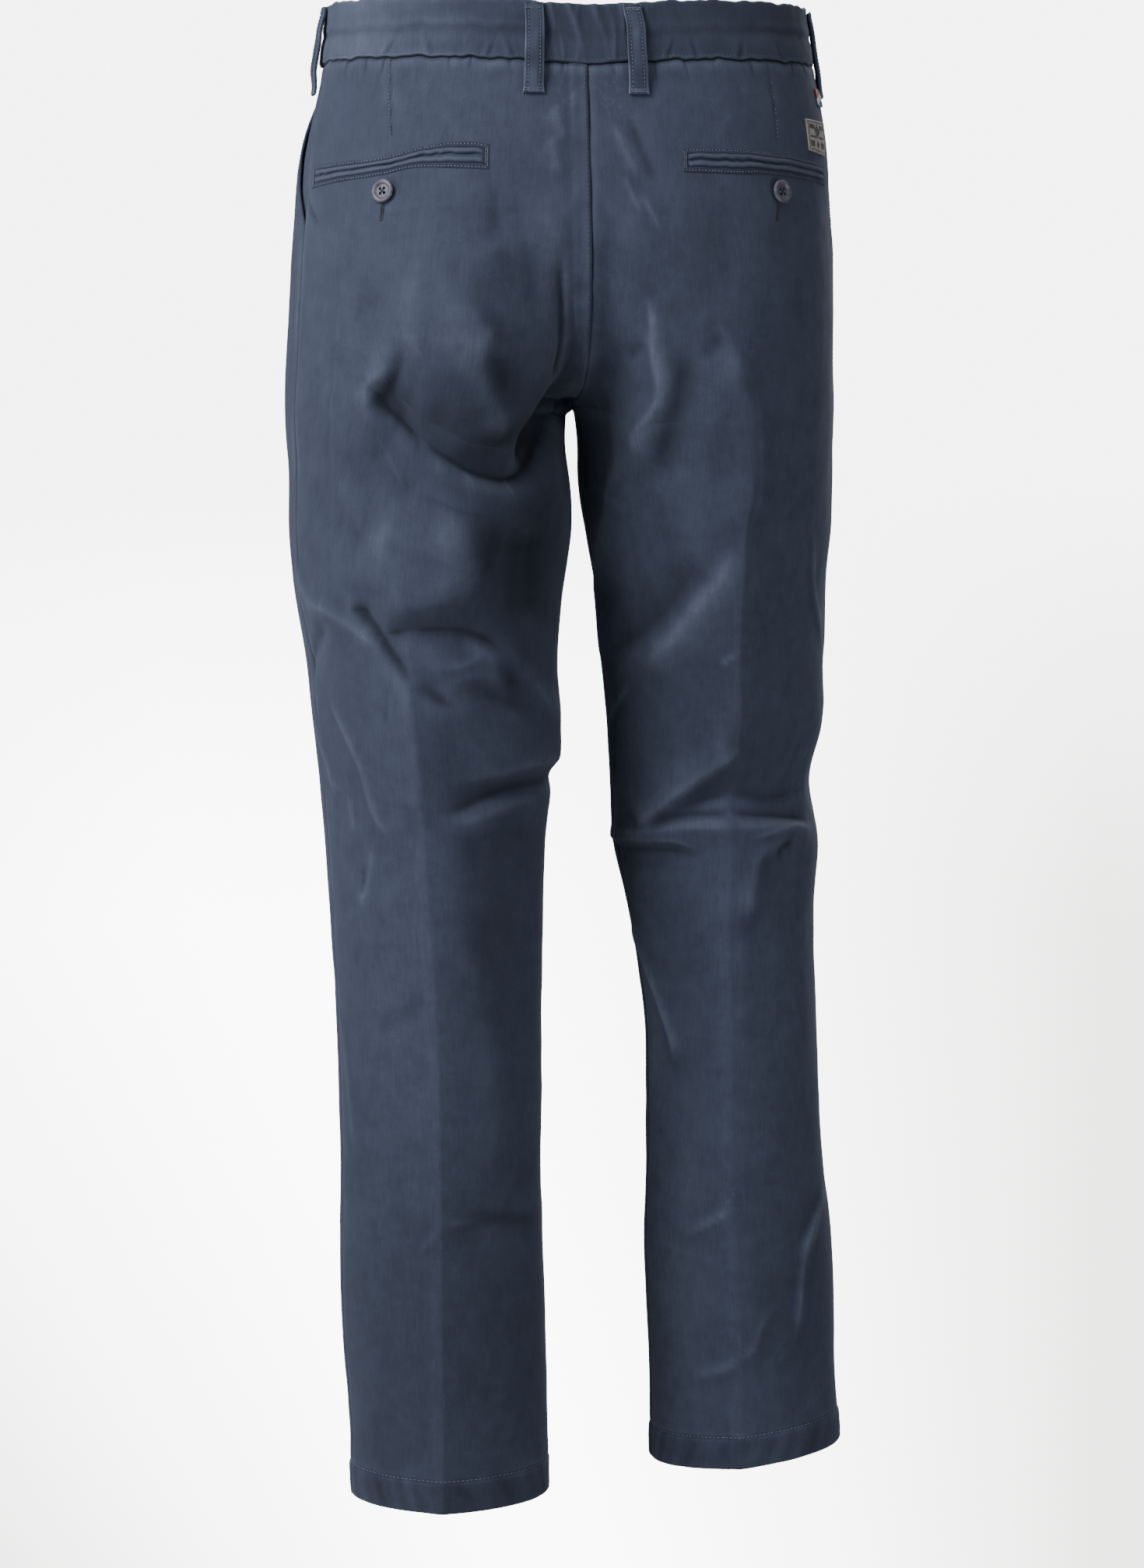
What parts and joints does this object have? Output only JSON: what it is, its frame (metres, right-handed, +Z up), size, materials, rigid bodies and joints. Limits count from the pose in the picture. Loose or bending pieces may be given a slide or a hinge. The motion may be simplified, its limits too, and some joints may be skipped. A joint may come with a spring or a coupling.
{
  "type": "chino trousers",
  "caption": "Long navy chino trousers in a worn standing pose, one knee slightly bent, with a belt-looped waistband, slanted hand pockets and buttoned welt back pockets.",
  "frame": {"origin": "centre of the waist opening, half way up the waistband, where the wearer holds the garment up", "axes": "+Z up along the standing legs, the wearer faces -Y and the wearer's left side is +X"},
  "size_m": [0.3931, 0.2794, 1.0111],
  "materials": {
    "cloth": "garment-dyed navy cotton twill, washed paler along the seams",
    "button": "dull grey-violet plastic, slightly polished",
    "canvas": "greige plain-weave canvas",
    "tape": "ribbon tape woven in red, white and blue bands"
  },
  "bodies": {
    "root": {"left_back": "cloth", "left_front": "cloth", "right_back": "cloth", "right_front": "cloth", "pocket_facing_left": "cloth", "pocket_facing_right": "cloth", "waistband": "cloth", "belt_loop_back_left": "cloth", "belt_loop_back_right": "cloth", "belt_loop_side_left": "cloth", "belt_loop_side_right": "cloth", "belt_loop_front_left": "cloth", "belt_loop_front_right": "cloth", "back_pocket_left_upper_jet": "cloth", "back_pocket_left_lower_jet": "cloth", "back_pocket_right_upper_jet": "cloth", "back_pocket_right_lower_jet": "cloth", "back_button_left": "button", "back_button_right": "button", "waist_button": "button", "side_label": "canvas", "side_tape": "tape"}
  },
  "joints": []
}
